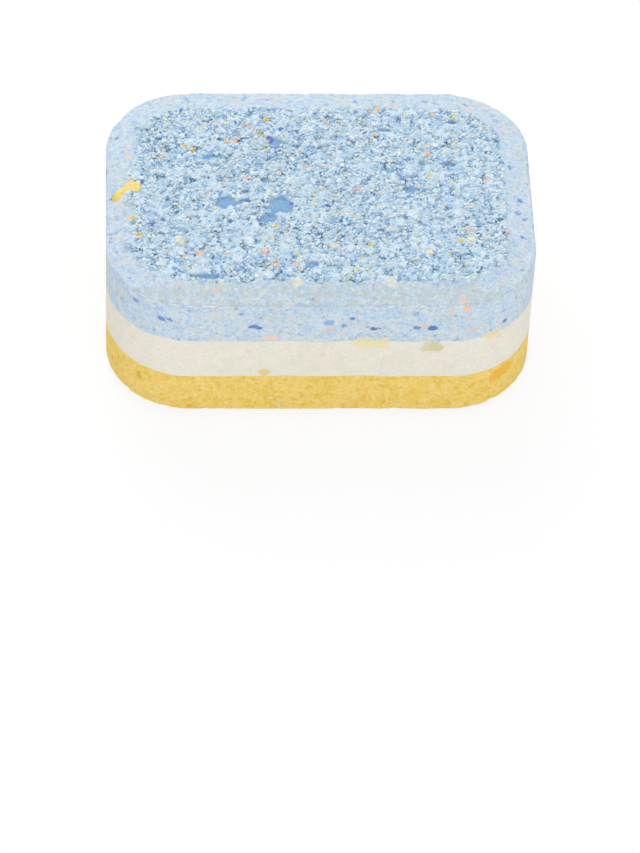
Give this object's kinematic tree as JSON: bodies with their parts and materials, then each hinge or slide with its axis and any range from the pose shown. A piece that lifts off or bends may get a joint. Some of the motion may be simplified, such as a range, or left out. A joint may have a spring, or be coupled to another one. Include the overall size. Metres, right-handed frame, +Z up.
{
  "type": "dishwasher tablet",
  "caption": "Pressed powder tablet for a dishwasher: a rounded block of blue, white and yellow layers with a sloping rim and a rough raised face on both sides.",
  "frame": {"origin": "centre of the tablet's footprint, on the plane that its yellow face rests on", "axes": "+X along the length, +Y along the width, +Z up through the layers from yellow to blue"},
  "size_m": [0.0364, 0.026, 0.014],
  "materials": {
    "blue_powder": "matt pressed powder, pale blue with darker blue, white, cream and salmon grains",
    "white_powder": "matt pressed powder, warm white, fine even grain",
    "yellow_powder": "matt pressed powder, yellow with darker ochre and pale grains"
  },
  "bodies": {
    "root": {"blue_layer": "blue_powder", "white_layer": "white_powder", "yellow_layer": "yellow_powder"}
  },
  "joints": []
}
